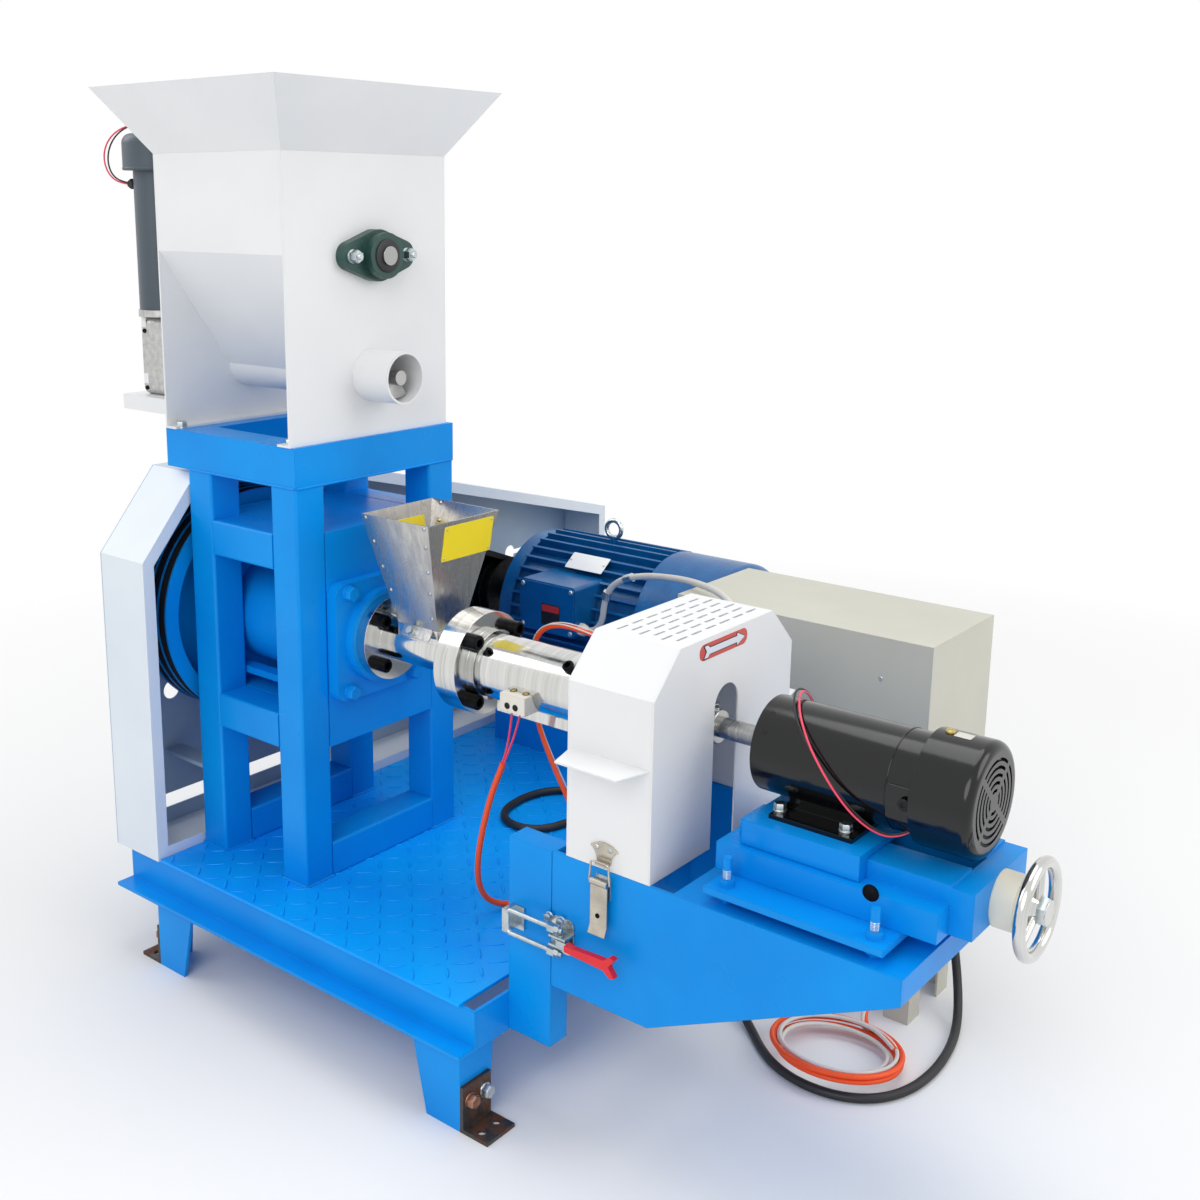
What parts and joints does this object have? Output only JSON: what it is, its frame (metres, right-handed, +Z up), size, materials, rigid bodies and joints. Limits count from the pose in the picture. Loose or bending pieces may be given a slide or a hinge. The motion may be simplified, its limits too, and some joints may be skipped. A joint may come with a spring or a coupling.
{
  "type": "feed extruder",
  "caption": "Dry feed pellet extruder: bin with auger over a belt-driven screw barrel with heater, guarded knife cutter on a hand-set slide, motor and control box on a steel base.",
  "frame": {"origin": "middle of the whole machine's outline, at floor level", "axes": "+Z up, +X along the screw from the drive to the cutter, +Y across towards the main motor"},
  "size_m": [1.4084, 1.084, 1.227],
  "materials": {
    "blue_paint": "gloss",
    "motor_blue": "gloss",
    "pale_sheet": "satin",
    "guard_blue_grey": "satin",
    "stainless": "brushed",
    "bright_steel": "polished",
    "turned_steel": "satin",
    "zinc": "satin",
    "dark_iron": "satin",
    "belt_rubber": "matt",
    "bearing_green": "satin",
    "black_gloss": "gloss",
    "grey_paint": "satin",
    "cast_aluminium": "cast",
    "beige_paint": "satin",
    "ivory_nylon": "matt",
    "red_grip": "gloss",
    "white_ceramic": "satin",
    "orange_sleeve": "satin",
    "black_cable": "satin",
    "grey_conduit": "satin",
    "red_lead": "satin"
  },
  "bodies": {
    "root": {"base_side_rails": "blue_paint", "base_cross_rails": "blue_paint", "base_legs": "blue_paint", "foot_brackets": "dark_iron", "deck_plate": "blue_paint", "tower_posts": "blue_paint", "tower_top_ring": "blue_paint", "tower_rails": "blue_paint", "spindle_box": "blue_paint", "bearing_cover": "blue_paint", "feed_barrel": "turned_steel", "inlet_hopper": "stainless", "hot_barrel": "turned_steel", "heater_band": "bright_steel", "heater_terminal": "white_ceramic", "bin_end_plates": "pale_sheet", "bin_funnel": "pale_sheet", "bin_flare": "pale_sheet", "stirrer_bearings": "bearing_green", "feeder_shelf": "pale_sheet", "feeder_gearbox": "cast_aluminium", "feeder_motor": "grey_paint", "v_belts": "belt_rubber", "belt_guard_back": "guard_blue_grey", "belt_guard_rim": "guard_blue_grey", "motor_stand": "blue_paint", "motor_frame": "motor_blue", "discharge_posts": "blue_paint", "clamp_hook": "zinc", "control_box": "beige_paint", "control_box_legs": "beige_paint", "heater_lead": "orange_sleeve", "sensor_lead": "orange_sleeve", "motor_conduit": "grey_conduit", "supply_cable": "black_cable", "feeder_lead": "red_lead", "coil_lead": "orange_sleeve", "floor_coil": "orange_sleeve"},
    "main_spindle": {"main_pulley": "blue_paint", "extruder_screw": "turned_steel"},
    "motor_rotor": {"motor_pulley": "dark_iron"},
    "auger": {"feed_auger": "turned_steel"},
    "stirrer_rotor": {"stirrer": "turned_steel"},
    "discharge_unit": {"chute_plates": "blue_paint", "chute_sides": "blue_paint", "latch_bases": "zinc", "slide_mounting_plate": "blue_paint", "slide_base": "blue_paint", "bush": "ivory_nylon"},
    "cutter_guard": {"hood_cover": "pale_sheet", "hood_end_plates": "pale_sheet", "latch_catches": "zinc"},
    "carriage_unit": {"carriage": "blue_paint", "cutter_motor": "black_gloss", "cutter_lead": "red_lead"},
    "cutter": {"cutter_rotor": "turned_steel"},
    "handwheel_unit": {"handwheel": "bright_steel"},
    "clamp_handle": {"clamp_lever": "red_grip"},
    "near_latch": {"latch_lever_near": "zinc"},
    "far_latch": {"latch_lever_far": "zinc"}
  },
  "joints": [
    {"name": "spindle_spin", "type": "hinge", "parent": "root", "child": "main_spindle", "pos_m": [-0.252, -0.308, 0.496], "axis": [1, 0, 0], "continuous": true},
    {"name": "motor_spin", "type": "hinge", "parent": "root", "child": "motor_rotor", "pos_m": [-0.492, 0.271, 0.39], "axis": [1, 0, 0], "continuous": true},
    {"name": "auger_spin", "type": "hinge", "parent": "root", "child": "auger", "pos_m": [-0.352, -0.294, 0.852], "axis": [1, 0, 0], "continuous": true},
    {"name": "stirrer_spin", "type": "hinge", "parent": "root", "child": "stirrer_rotor", "pos_m": [-0.352, -0.29, 1.011], "axis": [1, 0, 0], "continuous": true},
    {"name": "unit_swing", "type": "hinge", "parent": "root", "child": "discharge_unit", "pos_m": [0.1885, -0.149, 0.251], "axis": [0, 0, 1], "range_deg": [0, 22]},
    {"name": "guard_lift", "type": "slide", "parent": "discharge_unit", "child": "cutter_guard", "axis": [0, 0, 1], "range_m": [0, 0.25]},
    {"name": "carriage_slide", "type": "slide", "parent": "discharge_unit", "child": "carriage_unit", "axis": [1, 0, 0], "range_m": [0, 0.03]},
    {"name": "cutter_spin", "type": "hinge", "parent": "carriage_unit", "child": "cutter", "pos_m": [0.308, -0.308, 0.496], "axis": [1, 0, 0], "continuous": true},
    {"name": "handwheel_turn", "type": "hinge", "parent": "discharge_unit", "child": "handwheel_unit", "pos_m": [0.688, -0.308, 0.397], "axis": [-1, 0, 0], "range_deg": [0, 2700]},
    {"name": "clamp_swing", "type": "hinge", "parent": "discharge_unit", "child": "clamp_handle", "pos_m": [0.214, -0.468, 0.257], "axis": [0, 0, -1], "range_deg": [0, 100]},
    {"name": "near_latch_swing", "type": "hinge", "parent": "discharge_unit", "child": "near_latch", "pos_m": [0.263, -0.4623, 0.344], "axis": [-1, 0, 0], "range_deg": [0, 120]},
    {"name": "far_latch_swing", "type": "hinge", "parent": "discharge_unit", "child": "far_latch", "pos_m": [0.263, -0.1537, 0.344], "axis": [1, 0, 0], "range_deg": [0, 120]}
  ],
  "couplings": [
    {"joint": "motor_spin", "follows": "spindle_spin", "ratio": 2.8333},
    {"joint": "handwheel_turn", "follows": "carriage_slide", "rad_per_m": 1570.8}
  ]
}
